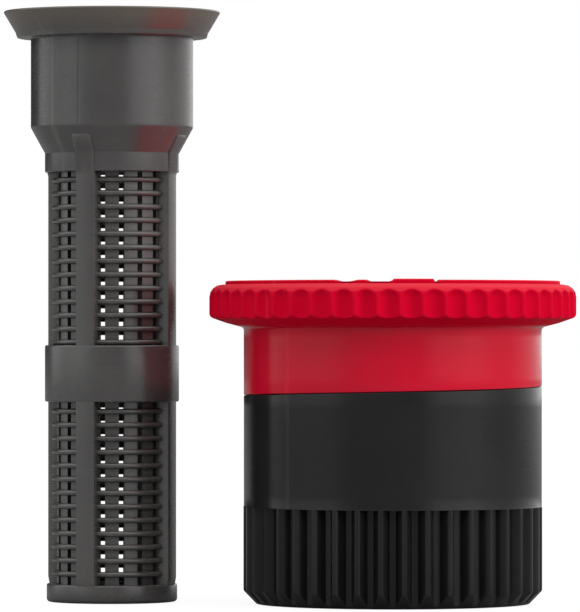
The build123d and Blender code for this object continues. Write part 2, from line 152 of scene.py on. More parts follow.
def lathe(rows, columns, shape=None, axis=(0.0, 0.0), sweep=None):
    """Vertices and faces of an outline turned about Z; shape(r, z, tags, angle) may bend it."""
    rim = np.array([(r, z) for r, z, tag in rows])
    tags = np.array([tag for r, z, tag in rows])[:, None]
    if sweep is None:
        angle = (np.arange(columns) * TURN / columns)[None, :]
    else:
        angle = np.linspace(sweep[0], sweep[1], columns)[None, :]
    r = np.repeat(rim[:, :1], columns, 1)
    z = np.repeat(rim[:, 1:], columns, 1)
    if shape:
        r, z = shape(r, z, tags, angle)
    points = np.stack([axis[0] + r * np.cos(angle), axis[1] + r * np.sin(angle), z], -1).reshape(-1, 3)
    n = len(rows)
    i = np.arange(n)[:, None]
    j = np.arange(columns if sweep is None else columns - 1)[None, :]
    i2, j2 = (i + 1) % n, (j + 1) % columns
    quads = np.stack([i * columns + j, i * columns + j2, i2 * columns + j2, i2 * columns + j], -1)
    faces = [quads.reshape(-1, 4)]
    if sweep is not None:
        first = np.arange(n) * columns
        faces += [("cap", first), ("cap", (first + columns - 1)[::-1])]
    return points, faces


def on_helix(corners, heights):
    """Outline rows whose tagged corners are heights above a helix, rounded as if in place."""
    placed = [(r, z + heights.get(tag, 0), rounding, tag, step) for r, z, rounding, tag, step in corners]
    return [(r, z - heights.get(tag, 0), tag) for r, z, tag in outline(placed)]


def make_piece(name, meshes, material, body, node):
    """One object from several (points, faces) pairs, smooth shaded, put in place of a CAD node, which it
    hides.
    """
    verts, polygons, offset = [], [], 0
    for points, faces in meshes:
        for face in faces:
            if isinstance(face, tuple):
                polygons.append([int(k) + offset for k in face[1]])
            else:
                polygons += (face + offset).tolist()
        verts.append(points)
        offset += len(points)
    mesh = bpy.data.meshes.new(name)
    mesh.from_pydata((np.concatenate(verts) * MM).tolist(), [], polygons)
    work = bmesh.new()
    work.from_mesh(mesh)
    bmesh.ops.recalc_face_normals(work, faces=work.faces)
    for edge in work.edges:
        edge.smooth = len(edge.link_faces) != 2 or edge.calc_face_angle(0) < SHARP_ANGLE
    for face in work.faces:
        face.smooth = True
    work.to_mesh(mesh)
    work.free()
    mesh.materials.append(material)
    piece = bpy.data.objects.new(name, mesh)
    bpy.context.scene.collection.objects.link(piece)
    weighted = piece.modifiers.new("weighted", "WEIGHTED_NORMAL")
    weighted.keep_sharp = True
    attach(piece, body)
    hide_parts(node)


# ---------------------------------------------------------------- shape functions

def climb(angle, step_degrees):
    """How far round from a step each angle is, as a part of one turn."""
    return ((np.degrees(angle) - step_degrees) % 360) / 360


def nearest(angle, first_degrees, count):
    """Angle to the nearest of several evenly spaced lines, in radians."""
    pitch = TURN / count
    return (angle - math.radians(first_degrees) + pitch / 2) % pitch - pitch / 2


def soft_min(a, b, blend):
    """The lower of two values with the crease between them rounded."""
    h = np.clip(0.5 + 0.5 * (b - a) / blend, 0, 1)
    return b * (1 - h) + a * h - blend * h * (1 - h)


def smooth_step(value, low, high):
    """0 below low, 1 above high, smooth between."""
    t = np.clip((value - low) / (high - low), 0, 1)
    return t * t * (3 - 2 * t)


def bump_at(angle, centre_degrees, half_degrees, soft_degrees):
    """1 within half_degrees of an angle, fading to 0 over soft_degrees."""
    off = np.abs((np.degrees(angle) - centre_degrees + 180) % 360 - 180)
    return 1 - smooth_step(off, half_degrees, half_degrees + soft_degrees)


# ---------------------------------------------------------------- material helpers

def add(tree, kind, settings=None, **inputs):
    """Adds a shader node; inputs named by socket, with spaces as underscores, or i0, i1 by place."""
    node = tree.nodes.new("ShaderNode" + kind)
    for key, value in (settings or {}).items():
        setattr(node, key, value)
    for key, value in inputs.items():
        numbered = key[0] == "i" and key[1:].isdigit()
        socket = node.inputs[int(key[1:])] if numbered else node.inputs[key.replace("_", " ")]
        if isinstance(value, bpy.types.NodeSocket):
            tree.links.new(value, socket)
        else:
            socket.default_value = value
    return node


def new_material(name):
    """An empty node material."""
    material = bpy.data.materials.new(name)
    material.use_nodes = True
    material.node_tree.nodes.clear()
    return material, material.node_tree


def noise(tree, coords, scale, detail=4.0, rough=0.55, stretch=(1, 1, 1)):
    """A noise value over object coordinates, with features of about 1 / scale."""
    mapping = add(tree, "Mapping", Vector=coords, Scale=stretch)
    texture = add(tree, "TexNoise", Vector=mapping.outputs[0], Scale=scale, Detail=detail, Roughness=rough)
    return texture.outputs[0]


def ramp(tree, value, low, high, to_low=0.0, to_high=1.0):
    """Maps a value from one range to another, clamped."""
    return add(tree, "MapRange", Value=value, i1=low, i2=high, i3=to_low, i4=to_high).outputs[0]


def mix_colour(tree, factor, first, second):
    """Mixes two colours."""
    return add(tree, "MixRGB", Fac=factor, Color1=first, Color2=second).outputs[0]


def grey(level):
    """A grey colour of one level."""
    return (level, level, level, 1)


def axis_distance(tree, coords):
    """Distance of a point from the nozzle axis."""
    split = add(tree, "SeparateXYZ", Vector=coords)
    flat = add(tree, "CombineXYZ", X=split.outputs[0], Y=split.outputs[1])
    return add(tree, "VectorMath", {"operation": "LENGTH"}, i0=flat.outputs[0]).outputs["Value"]


MATT_ROUGHNESS, MATT_SHINE = 0.62, 0.03


def moulded_plastic(name, look):
    """Moulded plastic: mottled colour, fine grain, faint flow lines, paler edges partly rubbed by use and on
    the red partly a painted highlight, and painted shade in creases and close to other surfaces.

    A look may turn matt beyond a radius, which also gives it a painted sheen on upward-facing faces, and
    may get a painted glow of light shining through the flange above a height.
    """
    material, tree = new_material(name)
    coords = add(tree, "TexCoord").outputs["Object"]
    cloud = noise(tree, coords, look["cloud_scale"], 3.0)
    speck = noise(tree, coords, 9000, 2.0)
    grain = noise(tree, coords, look["grain_scale"], 6.0, 0.6)
    streak = noise(tree, coords, 900, 3.0, 0.5, look["streak"])
    colour = mix_colour(tree, ramp(tree, cloud, 0.35, 0.65), look["dark"], look["light"])
    colour = mix_colour(tree, ramp(tree, speck, 0.62, 0.8, 0, look["speck"]), colour, look["pale"])
    edge = add(tree, "NewGeometry").outputs["Pointiness"]
    # Paler convex edges: rubbed by use, and on the red also a painted highlight along the ridges.
    worn_and_lit_edge = ramp(tree, edge, 0.515, 0.60, 0, look["wear_and_edge_light"])
    worn_and_lit_edge = add(tree, "Math", {"operation": "MULTIPLY"}, i0=worn_and_lit_edge, i1=ramp(tree, cloud, 0.3, 0.7, 0.5, 1))
    colour = mix_colour(tree, worn_and_lit_edge.outputs[0], colour, look["pale"])
    # Painted shade: concave spots, found by pointiness, are darkened towards the shade colour.
    shade = ramp(tree, edge, 0.40, 0.495, look["crease_shade"], 0)
    colour = mix_colour(tree, shade, colour, look["shade_colour"])
    low, high = look["roughness"]
    mottle = add(tree, "Math", {"operation": "ADD"}, i0=cloud, i1=streak).outputs[0]
    rough = ramp(tree, mottle, 0.7, 1.3, low, high)
    # Painted shade: where other surfaces are close by, the colour is darkened towards the shade colour.
    occlusion_shade = add(tree, "AmbientOcclusion", {"samples": 6}, Distance=look["shade_reach"]).outputs["AO"]
    occlusion_shade = ramp(tree, occlusion_shade, look["shade_from"], 1.0, 0, 1)
    colour = mix_colour(tree, occlusion_shade, mix_colour(tree, 0.75, colour, look["shade_colour"]), colour)
    if "matt_from" in look:
        matt = ramp(tree, axis_distance(tree, coords), *look["matt_from"])
        rough = mix_colour(tree, matt, rough, grey(MATT_ROUGHNESS))
        # Painted sheen: faces turned upward are made paler, as if lit from above.
        upward = add(tree, "SeparateXYZ", Vector=add(tree, "NewGeometry").outputs["Normal"]).outputs[2]
        colour = mix_colour(tree, ramp(tree, upward, 0.15, 0.75, 0, 0.7), colour, look["bloom_and_sheen"])
    # Painted light: above a height the colour turns a warm pale, as if light shone through the slender
    # flange.
    if "glow_through_from" in look:
        height = add(tree, "SeparateXYZ", Vector=coords).outputs[2]
        colour = mix_colour(tree, ramp(tree, height, *look["glow_through_from"]), colour, look["glow_through"])
    bump = add(tree, "Bump", Strength=look["grain_strength"], Distance=0.00004, Height=grain)
    lines = add(tree, "Bump", Strength=look["line_strength"], Distance=0.00003, Height=streak,
                Normal=bump.outputs[0])
    shine = look["shine"]
    if "matt_from" in look:
        shine = ramp(tree, matt, 0, 1, shine, MATT_SHINE)
    shader = add(tree, "BsdfPrincipled", Base_Color=colour, Roughness=rough, Normal=lines.outputs[0],
                 IOR=look["ior"], Specular_IOR_Level=shine, Subsurface_Weight=look["subsurface"],
                 Subsurface_Radius=look["subsurface_radius"], Subsurface_Scale=0.0004)
    add(tree, "OutputMaterial", Surface=shader.outputs[0])
    return material


# In each look the darkest colour paints shade in creases and close to other surfaces.
# The red's upward colour is a painted sheen; its pale colour, used for specks and rubbed edges, also paints a
# highlight on the ridges.
RED = {
    "dark": (0.72, 0.0008, 0.026, 1), "light": (0.80, 0.0014, 0.030, 1), "pale": (0.90, 0.02, 0.07, 1),
    "shade_colour": (0.40, 0.0001, 0.012, 1), "bloom_and_sheen": (0.74, 0.05, 0.07, 1),
    "cloud_scale": 90, "grain_scale": 5200, "streak": (1, 1, 14), "speck": 0.05, "wear_and_edge_light": 0.5, "crease_shade": 0.25,
    "roughness": (0.13, 0.21), "shine": 0.42, "ior": 1.48, "grain_strength": 0.06, "line_strength": 0.05,
    "subsurface": 0.06, "subsurface_radius": (1, 0.05, 0.05),
    "shade_reach": 0.0007, "shade_from": 0.45, "matt_from": (0.0103, 0.0109),
}
# The cap keeps only a faint trace of the painted shade close to other surfaces.
CAP_RED = {**RED, "matt_from": (0.0105, 0.0110), "shade_reach": 0.0002, "shade_from": 0.0}
BLACK = {
    "dark": (0.0115, 0.0113, 0.0113, 1), "light": (0.0155, 0.0152, 0.0152, 1), "pale": grey(0.05),
    "shade_colour": grey(0.006),
    "cloud_scale": 120, "grain_scale": 4200, "streak": (1, 1, 10), "speck": 0.10, "wear_and_edge_light": 0.45, "crease_shade": 0.3,
    "roughness": (0.15, 0.24), "shine": 0.42, "ior": 1.48, "grain_strength": 0.10, "line_strength": 0.06,
    "subsurface": 0.0, "subsurface_radius": (1, 0.2, 0.1),
    "shade_reach": 0.0010, "shade_from": 0.35,
}
# The grey's warm pale colour above a height is a painted glow of light shining through the flange.
GREY = {
    "dark": (0.058, 0.055, 0.054, 1), "light": (0.078, 0.075, 0.073, 1), "pale": (0.20, 0.19, 0.18, 1),
    "shade_colour": (0.018, 0.016, 0.015, 1), "glow_through": (0.125, 0.105, 0.085, 1),
    "cloud_scale": 150, "grain_scale": 3600, "streak": (1, 1, 6), "speck": 0.06, "wear_and_edge_light": 0.4, "crease_shade": 0.5,
    "roughness": (0.22, 0.31), "shine": 0.95, "ior": 1.55, "grain_strength": 0.06, "line_strength": 0.006,
    "subsurface": 0.04, "subsurface_radius": (1, 0.9, 0.8),
    "shade_reach": 0.0008, "shade_from": 0.35, "glow_through_from": (0.0386, 0.0400),
}


def rubber():
    """Dull black seal rubber with a fine powdery bloom."""
    material, tree = new_material("seal_rubber")
    coords = add(tree, "TexCoord").outputs["Object"]
    bloom_and_sheen = noise(tree, coords, 700, 5.0)
    grain = noise(tree, coords, 6000, 4.0)
    dark, dusty = (0.010, 0.010, 0.011, 1), (0.028, 0.028, 0.030, 1)
    colour = mix_colour(tree, ramp(tree, bloom_and_sheen, 0.4, 0.7), dark, dusty)
    rough = ramp(tree, bloom_and_sheen, 0.3, 0.7, 0.55, 0.8)
    bump = add(tree, "Bump", Strength=0.3, Distance=0.00003, Height=grain)
    shader = add(tree, "BsdfPrincipled", Base_Color=colour, Roughness=rough, Normal=bump.outputs[0])
    add(tree, "OutputMaterial", Surface=shader.outputs[0])
    return material


def steel():
    """Turned stainless steel: fine rings about the axis and a few dull spots."""
    material, tree = new_material("screw_steel")
    coords = add(tree, "TexCoord").outputs["Object"]
    radius = axis_distance(tree, coords)
    turned = add(tree, "TexNoise", {"noise_dimensions": "1D"}, W=radius, Scale=22000.0, Detail=3.0)
    rings = turned.outputs[0]
    dull = noise(tree, coords, 900, 4.0)
    colour = mix_colour(tree, ramp(tree, dull, 0.4, 0.65), (0.60, 0.60, 0.61, 1), (0.42, 0.42, 0.43, 1))
    bump = add(tree, "Bump", Strength=0.25, Distance=0.00002, Height=rings)
    shader = add(tree, "BsdfPrincipled", Base_Color=colour, Metallic=1.0,
                 Roughness=ramp(tree, rings, 0.3, 0.7, 0.22, 0.38), Normal=bump.outputs[0])
    add(tree, "OutputMaterial", Surface=shader.outputs[0])
    return material


RED_PLASTIC = moulded_plastic("red_plastic", RED)
BLACK_PLASTIC = moulded_plastic("black_plastic", BLACK)
CAP_PLASTIC = moulded_plastic("cap_plastic", CAP_RED)
GREY_PLASTIC = moulded_plastic("grey_plastic", GREY)
RUBBER = rubber()
STEEL = steel()


# ---------------------------------------------------------------- arc collar

FLUTES, FLUTE_RADIUS, FLUTE_DEPTH, FLUTE_TOP, RIDGE_ANGLE, FLUTE_EDGE = 51, 0.875, 0.33, 20.75, 271.3, 0.1
NECK_BORE, NECK_TOP, RING_FOOT, BOWL_EDGE = 8.85, 18.78, 19.5, 11.6
GLAND_R, GLAND_LOW, GLAND_HIGH = 9.4, 15.3, 16.2
BEARING_R, BEARING_TOP, LIP_ROOT, THROAT_FOOT = 8.6, 17.7, 16.9, 15.9


def ring_flutes(r, z, angle):
    """Cuts the round-ended flutes into the ring."""
    off = nearest(angle, RIDGE_ANGLE + 180 / FLUTES, FLUTES)
    middle = RING_R - FLUTE_DEPTH + FLUTE_RADIUS
    above = np.clip(z - FLUTE_TOP, 0, FLUTE_RADIUS)
    reach2 = FLUTE_RADIUS ** 2 - above ** 2 - (middle * np.sin(off)) ** 2
    cut = middle * np.cos(off) - np.sqrt(np.maximum(reach2, 0))
    cut = np.where(reach2 > 0, cut, middle)
    return soft_min(r, cut, FLUTE_EDGE)


def collar_shape(r, z, tags, angle):
    """Helical lower edge and valve lip, and the flutes."""
    edge = SHOULDER_START + ARC_PITCH * REST_TURN / 360 + SEATED_GAP
    edge = edge + ARC_PITCH * climb(angle, SHOULDER_STEP + REST_TURN)
    lip = VALVE_START - ARC_PITCH * REST_ARC / 360 - SEATED_GAP
    lip = lip + ARC_PITCH * climb(angle, VALVE_STEP - REST_ARC)
    z = np.where(tags == "edge", z + edge, np.where(tags == "lip", z + lip, z))
    r = np.where(tags == "ring", ring_flutes(r, z, angle), r)
    return r, z


def build_collar():
    """Fluted ring, neck, spray bowl and helical edges in one closed mesh."""
    corners = [
        (NECK_BORE, 0.0, 0.06, "edge", 0),
        (BAND_R, 0.0, 0.07, "edge", 0),
        (BAND_R, GLAND_LOW, 0, "", 0.5),
        (BAND_R, NECK_TOP, 0.25, "", 0.12),
        (11.3, NECK_TOP + 0.3, 0, "ring", 0.1),
        (RING_R, RING_FOOT, 0.35, "ring", 0.07),
        (RING_R, RING_TOP, 0.85, "ring", 0.07),
        (BOWL_EDGE, RING_TOP, 0.03, "ring", 0),
        (BOWL_EDGE - 0.15, 20.49, 0.15, "", 0.4),
        (6.6, 18.3, 0.4, "", 0),
        (5.5, LIP_ROOT, 0.08, "", 0),
        (LIP_R, LIP_ROOT, 0, "", 0),
        (LIP_R, 0.0, 0.06, "lip", 0),
        (THROAT_R, 0.0, 0.06, "lip", 0),
        (THROAT_R, THROAT_FOOT, 0.06, "", 0),
        (5.7, THROAT_FOOT, 0.1, "", 0),
        (7.2, BEARING_TOP, 0.1, "", 0),
        (BEARING_R, BEARING_TOP, 0.1, "", 0),
        (BEARING_R, GLAND_HIGH, 0.05, "", 0),
        (GLAND_R, GLAND_HIGH, 0.05, "", 0),
        (GLAND_R, GLAND_LOW, 0.05, "", 0),
        (NECK_BORE, GLAND_LOW, 0.05, "", 0),
    ]
    rows = on_helix(corners, {"edge": 14.03, "lip": 16.93})
    shell = lathe(rows, 1200, collar_shape)
    make_piece("arc_collar_shell", [shell], RED_PLASTIC, "collar", "arc_collar")


# ---------------------------------------------------------------- nozzle body

RIBS, RIB_TIP, GROOVE_FLOOR, GROOVE_R, GRIP_TOP = 40, 0.27, 0.45, 9.43, 6.6
GROOVE_ANGLE = 269.0
THREAD_PITCH, THREAD_MAJOR, THREAD_MINOR = 25.4 / 28, 7.9375, 7.447
THREAD_CENTRE = 1.3
PILOT_R, RELIEF_R, RELIEF_LOW, RELIEF_HIGH = 8.2, 8.4, 7.2, 8.0


def grip_radius(angle):
    """Outside radius of the grip at each angle: narrow ribs between tapered grooves."""
    off = np.abs(nearest(angle, GROOVE_ANGLE, RIBS)) * GRIP_R
    outer = math.pi * GRIP_R / RIBS - RIB_TIP / 2
    rise = (off - GROOVE_FLOOR / 2) / (outer - GROOVE_FLOOR / 2)
    slope = GROOVE_R + (GRIP_R - GROOVE_R) * rise
    low = -soft_min(-slope, np.full_like(slope, -GROOVE_R), 0.05)
    return soft_min(low, np.full_like(low, GRIP_R), 0.05)


def thread_radius(z, angle):
    """Wall radius of the female thread."""
    along = z - THREAD_CENTRE - THREAD_PITCH * angle / TURN
    off = np.abs((along + THREAD_PITCH / 2) % THREAD_PITCH - THREAD_PITCH / 2)
    flank = THREAD_MAJOR - np.maximum(0, off - THREAD_PITCH / 16) / math.tan(math.radians(30))
    return np.maximum(flank, THREAD_MINOR)


def body_shape(r, z, tags, angle):
    """Grip ribs, helical shoulder and riser thread."""
    shoulder = SHOULDER_START + ARC_PITCH * climb(angle, SHOULDER_STEP)
    z = np.where(tags == "shoulder", z + shoulder, z)
    r = np.where(tags == "grip", soft_min(r, grip_radius(angle) + 0 * r, 0.03), r)
    fade = smooth_step(z, 1.5, 2.1) * (1 - smooth_step(z, 6.9, 7.15))
    cut = THREAD_MINOR + (thread_radius(z, angle) - THREAD_MINOR) * fade
    r = np.where(tags == "thread", np.maximum(r, cut), r)
    return r, z


def build_body():
    """Grip, band, shoulder, sleeve and threaded bore as one closed tube."""
    corners = [
        (PILOT_R, 0.0, 0.08, "", 0),
        (9.3, 0.0, 0.06, "grip", 0.1),
        (GRIP_R, 0.92, 0.3, "grip", 1.0),
        (GRIP_R, GRIP_TOP - 0.04, 0, "grip", 0),
        (GRIP_R, GRIP_TOP, 0, "grip", 0.2),
        (BAND_R, GRIP_TOP, 0.06, "", 0.9),
        (BAND_R, 13.4, 0, "", 0),
        (BAND_R, 0.0, 0.07, "shoulder", 0),
        (SLEEVE_R + 0.2, 0.0, 0, "shoulder", 0),
        (SLEEVE_R + 0.2, SLEEVE_FOOT, 0, "", 0),
        (SLEEVE_R, SLEEVE_FOOT, 0.05, "", 0),
        (SLEEVE_R, SLEEVE_TOP, 0.25, "", 0),
        (SLEEVE_BORE, SLEEVE_TOP, 0.08, "", 0),
        (SLEEVE_BORE, RELIEF_HIGH, 0, "", 0),
        (RELIEF_R, RELIEF_HIGH, 0.05, "", 0),
        (RELIEF_R, RELIEF_LOW, 0.05, "", 0),
        (THREAD_MINOR, RELIEF_LOW, 0, "thread", 0.1),
        (THREAD_MINOR, 1.95, 0, "thread", 0.12),
        (PILOT_R, 1.2, 0.05, "", 0),
    ]
    shell = lathe(on_helix(corners, {"shoulder": SHOULDER_START}), 960, body_shape)
    meshes = [shell, port_web(), boss()]
    make_piece("nozzle_body_shell", meshes, BLACK_PLASTIC, "nozzle", "nozzle_body")


def hex_radius(angle, flats):
    """Radius of a hexagon at each angle, across flats."""
    off = (angle + TURN / 12) % (TURN / 6) - TURN / 12
    return flats / 2 / np.cos(off)


PORTS, PORT_WIDTH, PORT_ANGLE = 6, math.radians(44), 30
PORT_INNER, PORT_OUTER = 3.4, 4.4
WEB_LOW, WEB_HIGH = 8.0, 9.6
SOCKET_FLATS, SOCKET_CORNER_R = 4.3, 2.15


def port_web():
    """The flow web between the boss and the wall, with its six ports."""
    columns = 360
    angle = np.arange(columns) * TURN / columns
    open_column = np.abs(nearest(angle + TURN / columns / 2, PORT_ANGLE, PORTS)) < PORT_WIDTH / 2
    radii = [BOSS_R - 0.01, PORT_INNER, PORT_OUTER, SLEEVE_BORE + 0.05]
    count = len(radii)
    points = [
        (r * math.cos(a), r * math.sin(a), z) for z in (WEB_HIGH, WEB_LOW) for r in radii for a in angle
    ]
    quads = []

    def spot(level, ring, column):
        return (level * count + ring) * columns + column % columns

    def wall(ring_1, column_1, ring_2, column_2):
        top = [spot(0, ring_1, column_1), spot(0, ring_2, column_2)]
        return top + [spot(1, ring_2, column_2), spot(1, ring_1, column_1)]

    def solid(ring, column):
        return 0 <= ring < count - 1 and not (ring == 1 and open_column[column % columns])

    for column in range(columns):
        for ring in range(count - 1):
            if not solid(ring, column):
                continue
            a, b = column, column + 1
            quads.append([spot(0, ring, a), spot(0, ring + 1, a), spot(0, ring + 1, b), spot(0, ring, b)])
            quads.append([spot(1, ring, b), spot(1, ring + 1, b), spot(1, ring + 1, a), spot(1, ring, a)])
            if not solid(ring - 1, column):
                quads.append(wall(ring, a, ring, b))
            if not solid(ring + 1, column):
                quads.append(wall(ring + 1, b, ring + 1, a))
            if not solid(ring, column - 1):
                quads.append(wall(ring + 1, a, ring, a))
            if not solid(ring, column + 1):
                quads.append(wall(ring, b, ring + 1, b))
    return np.array(points), [np.array(quads)]


def boss_shape(r, z, tags, angle):
    """Makes the socket of the boss six-sided."""
    return np.where(tags == "hex", hex_radius(angle, SOCKET_FLATS), r), z


def boss():
    """The centre boss, with a six-sided socket below and the stem's bore above."""
    corners = [
        (SOCKET_CORNER_R, WEB_LOW, 0, "hex", 0),
        (BOSS_R, WEB_LOW, 0.03, "", 0),
        (BOSS_R, BOSS_TOP, 0.06, "", 0),
        (STEM_R, BOSS_TOP, 0.06, "", 0),
        (STEM_R, STEM_FOOT, 0, "", 0),
        (SOCKET_CORNER_R, STEM_FOOT, 0, "hex", 0),
    ]
    return lathe(outline(corners), 144, boss_shape)


# ---------------------------------------------------------------- deflector cap

RIM_IN, UNDER_RIM, CAP_FLUTES, CAP_FLUTE_DEPTH = 10.7, 21.5, 36, 0.17
HUB_R, EYE_TOP, RECESS_R, HEAD_SEAT, SEAL_POCKET_R, POCKET_FLOOR = 3.6, 21.75, 2.6, 20.8, 2.3, 19.9
LEFT_HOLLOW, LEFT_HOLLOW_R, LEFT_HOLLOW_DEPTH = 252.9, 2.6, 0.13
RIGHT_HOLLOW, RIGHT_HOLLOW_R, RIGHT_HOLLOW_DEPTH = 264.6, 1.9, 0.23
STEP_DEPTH, PAD_START, PAD_END = 0.07, 269.1, 282.9
NOTCH_ANGLE, NOTCH_DEPTH = 284.0, 0.25


def signed_off(angle, centre_degrees):
    """Distance along the rim from a mark, in millimetres."""
    return np.radians((np.degrees(angle) - centre_degrees + 180) % 360 - 180) * CAP_R


def rim_height(angle):
    """Height of the rim above its plain top: two hollows, a step, a raised pad and a notch."""
    height = 0 * angle
    for centre, radius, depth in (
        (LEFT_HOLLOW, LEFT_HOLLOW_R, LEFT_HOLLOW_DEPTH),
        (RIGHT_HOLLOW, RIGHT_HOLLOW_R, RIGHT_HOLLOW_DEPTH),
    ):
        off = signed_off(angle, centre)
        hollow = radius - depth - np.sqrt(np.maximum(radius ** 2 - off ** 2, 0))
        height = soft_min(height, np.where(np.abs(off) < radius, hollow, 1.0), 0.04)
    on_step = (signed_off(angle, RIGHT_HOLLOW) > 0) & (signed_off(angle, PAD_START) < 0)
    height = np.where(on_step, np.minimum(height, -STEP_DEPTH), height)
    pad = bump_at(angle, (PAD_START + PAD_END) / 2, (PAD_END - PAD_START) / 2, 0.35)
    notch = NOTCH_DEPTH - np.abs(signed_off(angle, NOTCH_ANGLE))
    return height + PAD_RISE * pad - np.maximum(notch, 0)


def cap_shape(r, z, tags, angle):
    """Rim marks, spray flutes under the disc, and the helical valve seat."""
    z = np.where(tags == "rim", z + rim_height(angle) * smooth_step(r, RIM_IN - 0.12, RIM_IN), z)
    groove = np.clip(CAP_FLUTE_DEPTH - np.abs(nearest(angle, 5, CAP_FLUTES)) * r, 0, 1)
    groove = groove * smooth_step(r, 7.0, 7.4) * (1 - smooth_step(r, 10.5, 10.9))
    z = np.where(tags == "under", z + groove, z)
    valve = VALVE_START + ARC_PITCH * climb(angle, VALVE_STEP)
    z = np.where(tags == "valve", z + valve, z)
    z = np.where(tags == "skirt", np.maximum(z, valve + 0.05), z)
    return r, z


def build_cap():
    """Disc, marked rim, dished top, screw recess, valve seat and hollow stem."""
    corners = [
        (SCREW_BORE_R, STEM_FOOT, 0.05, "", 0),
        (STEM_R - 0.02, STEM_FOOT, 0.08, "", 0),
        (STEM_R - 0.02, BOSS_TOP + 0.02, 0, "", 0),
        (BOSS_R - 0.01, BOSS_TOP + 0.02, 0.05, "", 0),
        (BOSS_R - 0.01, 16.3, 0, "", 0),
        (3.5, 16.6, 0, "", 0),
        (HUB_R, 16.65, 0, "", 0),
        (HUB_R, 0.0, 0, "valve", 0),
        (VALVE_R, 0.0, 0.05, "valve", 0),
        (VALVE_R, 18.5, 0, "skirt", 0),
        (6.3, 19.6, 0.3, "under", 0.25),
        (CAP_R, UNDER_RIM, 0.06, "under", 0),
        (CAP_R, CAP_RIM_TOP - 0.12, 0, "", 0),
        (CAP_R, CAP_RIM_TOP, 0.09, "rim", 0.1),
        (RIM_IN, CAP_RIM_TOP, 0.06, "rim", 0),
        (RIM_IN - 0.15, 21.7, 0.05, "", 0.6),
        (3.7, 21.5, 0.1, "", 0),
        (3.4, EYE_TOP, 0.1, "", 0),
        (RECESS_R, EYE_TOP, 0.08, "", 0),
        (RECESS_R, HEAD_SEAT, 0.05, "", 0),
        (SEAL_POCKET_R, HEAD_SEAT, 0.03, "", 0),
        (SEAL_POCKET_R, POCKET_FLOOR, 0.05, "", 0),
        (SCREW_BORE_R, POCKET_FLOOR, 0.05, "", 0),
    ]
    shell = lathe(on_helix(corners, {"valve": VALVE_START}), 1080, cap_shape)
    make_piece("deflector_cap_shell", [shell], CAP_PLASTIC, "nozzle", "deflector_cap")


# ---------------------------------------------------------------- filter screen

FILTER_AXIS = (FILTER_X / MM, FILTER_Y / MM)
TUBE_BORE, TUBE_R, BAND_OUT, FOOT_R = 3.45, 3.80, 4.60, 4.475
CUP_R, CUP_BORE, CUP_TOP, FLANGE_FOOT_R = 5.57, 4.95, 38.64, 6.5
HOOPS, HOOP_PITCH, UPPER_HOOP, LOWER_HOOP = 13, 0.925, 28.87, 13.07
REAR_HOOPS, UPPER_REAR_HOOP, LOWER_REAR_HOOP = 14, 29.635, 13.515
HOOP_WIRE, HOOP_CENTRE, REAR_HOOP_HALF = 0.195, 3.935, 0.28
BARS, BAR_GAP, BAR_ANGLE, BAR_MIDDLE_R = 18, 0.36, 271.7, 3.62
RIB_COUNT, RIB_ANGLE, RIB_WIDTH, RIB_INSET = 4, 247.6, 1.4, 0.02
BAND_LOW, BAND_HIGH, HEAD_FOOT, CUP_FOOT = 13.70, 17.58, 29.42, 32.49
FOOT_TOP, FOOT_FLOOR, FOOT_DIMPLE_R, FOOT_DIMPLE, PINHOLE_R = 1.24, 1.0, 3.2, 0.12, 0.02
LOWER_BARS, UPPER_BARS = (1.1, 14.0), (17.3, 29.7)
SEAM_DEPTH, SEAM_WIDTH = 0.03, 0.05


def seam_shape(r, z, tags, angle):
    """A fine mould seam down the cup, in line with a rib."""
    off = nearest(angle, RIB_ANGLE, 2) * CUP_R
    return np.where(tags == "seam", r - SEAM_DEPTH * np.exp(-(off / SEAM_WIDTH) ** 2), r), z


def filter_head():
    """Flange, cup, cone and the collar below it."""
    corners = [
        (TUBE_BORE, HEAD_FOOT, 0.08, "", 0),
        (BAND_OUT, HEAD_FOOT, 0.08, "", 0),
        (BAND_OUT, 30.73, 0.15, "", 0),
        (CUP_R, CUP_FOOT, 0.35, "", 0),
        (CUP_R, 32.75, 0, "seam", 0),
        (CUP_R, CUP_TOP - 0.15, 0, "seam", 0),
        (CUP_R, CUP_TOP, 0.08, "", 0),
        (FLANGE_FOOT_R, CUP_TOP, 0.14, "", 0),
        (FLANGE_FOOT_R + 0.11, CUP_TOP + 0.36, 0.12, "", 0),
        (FLANGE_R, FLANGE_TOP - 0.1, 0.06, "", 0),
        (FLANGE_R - 0.06, FLANGE_TOP, 0.06, "", 0),
        (6.97, FLANGE_TOP, 0.10, "", 0),
        (5.95, 39.25, 0.25, "", 0),
        (CUP_BORE, 38.95, 0.25, "", 0),
        (CUP_BORE, 32.9, 0.4, "", 0),
        (TUBE_BORE, 30.9, 0.3, "", 0),
    ]
    return lathe(outline(corners, 6), 720, seam_shape, axis=FILTER_AXIS)


def filter_band():
    """The plain ring between the two windows."""
    corners = [
        (TUBE_BORE, BAND_LOW, 0.08, "", 0),
        (BAND_OUT, BAND_LOW, 0.13, "", 0),
        (BAND_OUT, BAND_HIGH, 0.13, "", 0),
        (TUBE_BORE, BAND_HIGH, 0.08, "", 0),
    ]
    return lathe(outline(corners, 5), 240, axis=FILTER_AXIS)


def filter_foot():
    """The closed lower end, with a floor inside."""
    corners = [
        (PINHOLE_R, FOOT_DIMPLE, 0, "", 0),
        (FOOT_DIMPLE_R, FOOT_DIMPLE, 0.06, "", 0),
        (FOOT_DIMPLE_R + 0.1, 0.0, 0.05, "", 0),
        (FOOT_R, 0.0, 0.24, "", 0),
        (FOOT_R, FOOT_TOP, 0.12, "", 0),
        (TUBE_BORE, FOOT_TOP, 0.08, "", 0),
        (TUBE_BORE, FOOT_FLOOR, 0.05, "", 0),
        (PINHOLE_R, FOOT_FLOOR, 0, "", 0),
    ]
    return lathe(outline(corners, 5), 240, axis=FILTER_AXIS)


